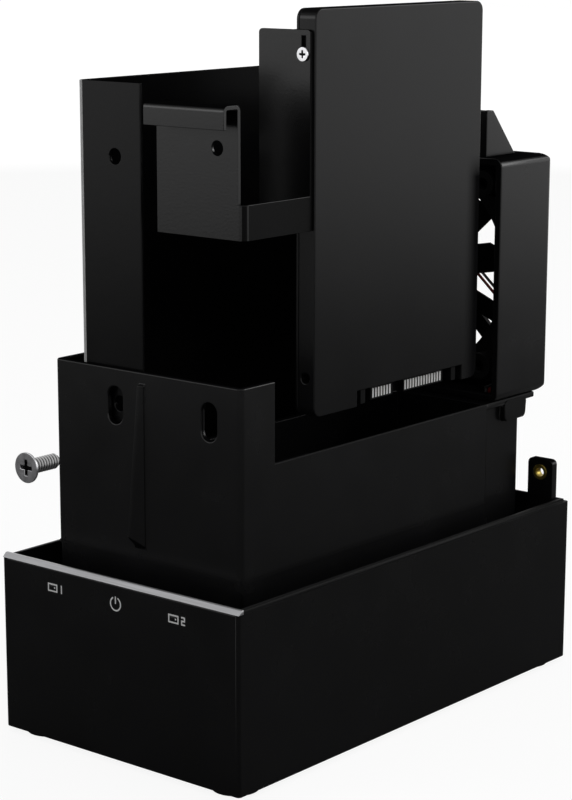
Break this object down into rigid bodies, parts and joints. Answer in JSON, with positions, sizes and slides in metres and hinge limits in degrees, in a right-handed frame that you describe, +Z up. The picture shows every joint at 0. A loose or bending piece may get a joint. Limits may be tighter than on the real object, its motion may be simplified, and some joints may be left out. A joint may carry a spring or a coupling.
{
  "type": "external hard drive enclosure",
  "caption": "Upright drive enclosure with its outer cover off: low base, open cradle, metal tray, lifted drive adapter, rear fan housing and a fixing screw.",
  "frame": {"origin": "On the ground, under the middle of the whole object's box, which reaches from the drawn-out screw's head to the rear button.", "axes": "+Z up, -Y the front with the marks, +X the side of the lifted drive (right when seen from the front)."},
  "size_m": [0.0802, 0.1946, 0.1867],
  "materials": {
    "case_plastic": "fine satin moulded black plastic",
    "rim_silver": "bright chamfered edge",
    "foot_rubber": "matte",
    "print_grey": "printed light grey",
    "board_green": "satin solder mask",
    "screw_steel": "turned steel",
    "inner_black": "matte black",
    "contact_gold": "gold plated",
    "jack_steel": "nickel plated",
    "insert_brass": "turned, knurled",
    "sheet_black": "fine textured dark powder coat",
    "drive_coat": "dark satin coat",
    "drive_alloy": "cast, satin",
    "lead_red": "satin insulation",
    "lead_black": "satin insulation",
    "plug_white": "natural nylon"
  },
  "bodies": {
    "enclosure": {"base_case": "case_plastic", "front_trim": "rim_silver", "feet": "foot_rubber", "mark_left": "print_grey", "mark_power": "print_grey", "mark_right": "print_grey", "main_board": "board_green", "board_screws": "screw_steel", "board_chips": "inner_black", "dock_sockets": "inner_black", "dock_contacts": "contact_gold", "dc_jack": "inner_black", "jack_pin": "screw_steel", "usb_port": "jack_steel", "usb_tongue": "inner_black", "switch_body": "inner_black", "rear_tab": "case_plastic", "brass_insert": "insert_brass", "tab_screw": "screw_steel", "drive_cradle": "case_plastic", "cradle_screws": "screw_steel", "fan_housing": "case_plastic", "fan_frame": "inner_black", "fan_motor": "inner_black", "fan_screws": "screw_steel", "fan_lead_red": "lead_red", "fan_lead_black": "lead_black", "lead_plug": "plug_white", "top_plate": "case_plastic"},
    "adapter": {"adapter_bracket": "sheet_black", "drive_shell": "drive_coat", "drive_base": "drive_alloy", "drive_board": "board_green", "drive_connector": "inner_black", "drive_contacts": "contact_gold", "drive_screws": "screw_steel"},
    "tray": {"drive_tray": "sheet_black"},
    "fixing_screw": {"fixing_screw": "screw_steel"},
    "rotor": {"fan_rotor": "inner_black"},
    "button": {"power_button": "case_plastic"}
  },
  "joints": [
    {"name": "adapter_slide", "type": "slide", "parent": "enclosure", "child": "adapter", "axis": [0, 0, 1], "range_m": [-0.0654, 0.03]},
    {"name": "tray_slide", "type": "slide", "parent": "enclosure", "child": "tray", "axis": [0, 0, 1], "range_m": [0, 0.1]},
    {"name": "screw_slide", "type": "slide", "parent": "enclosure", "child": "fixing_screw", "axis": [0, 1, 0], "range_m": [0, 0.0592]},
    {"name": "fan_spin", "type": "hinge", "parent": "enclosure", "child": "rotor", "pos_m": [0, 0.07875, 0.1127], "axis": [0, 1, 0], "continuous": true},
    {"name": "button_press", "type": "slide", "parent": "enclosure", "child": "button", "axis": [0, -1, 0], "range_m": [0, 0.0015], "stiffness_N_per_m": 300, "springref_m": -0.002}
  ]
}
